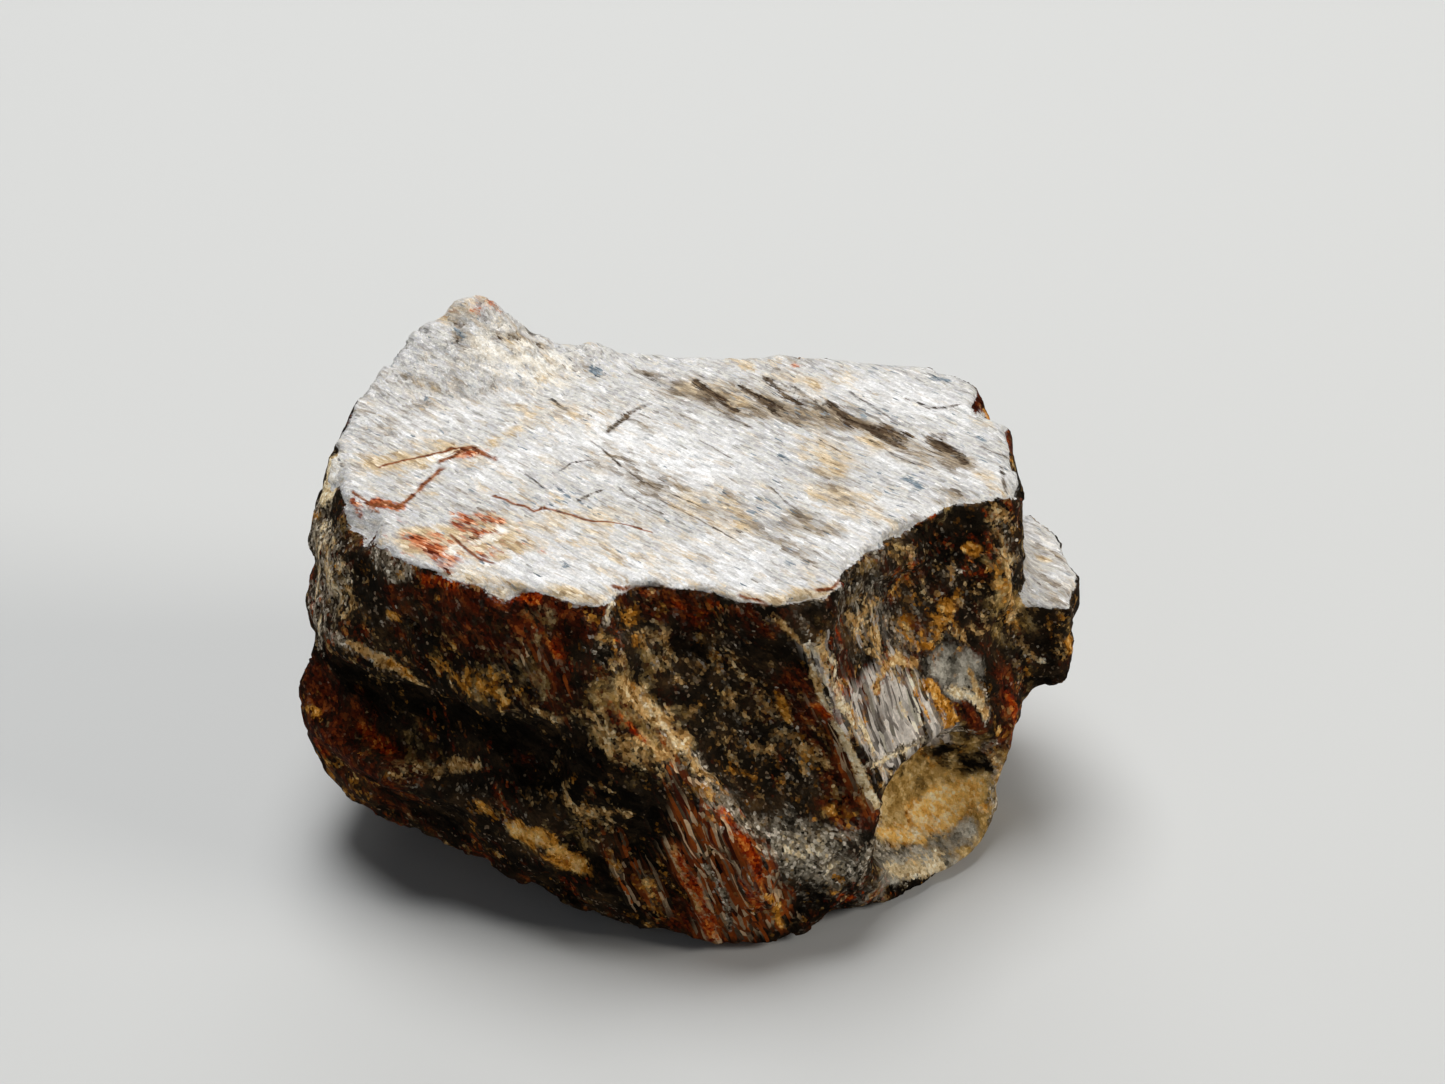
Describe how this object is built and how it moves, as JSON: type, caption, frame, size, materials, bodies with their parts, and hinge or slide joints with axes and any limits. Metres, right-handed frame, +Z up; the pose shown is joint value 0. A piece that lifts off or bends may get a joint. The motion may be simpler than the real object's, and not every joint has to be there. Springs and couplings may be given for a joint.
{
  "type": "tantalite crystal",
  "caption": "Broken blocky crystal with a flat silvery cleavage face on top, rust-stained hackly sides, a stepped side ledge and a flat underside to rest on.",
  "frame": {"origin": "on the flat underside, below the middle of the crystal's bounding box", "axes": "+Z up out of the rest face, +X to the right along the crystal's length, +Y away from the front face"},
  "size_m": [0.0266, 0.0186, 0.0146],
  "materials": {
    "tantalite": "satin"
  },
  "bodies": {
    "root": {"tantalite_crystal": "tantalite"}
  },
  "joints": []
}
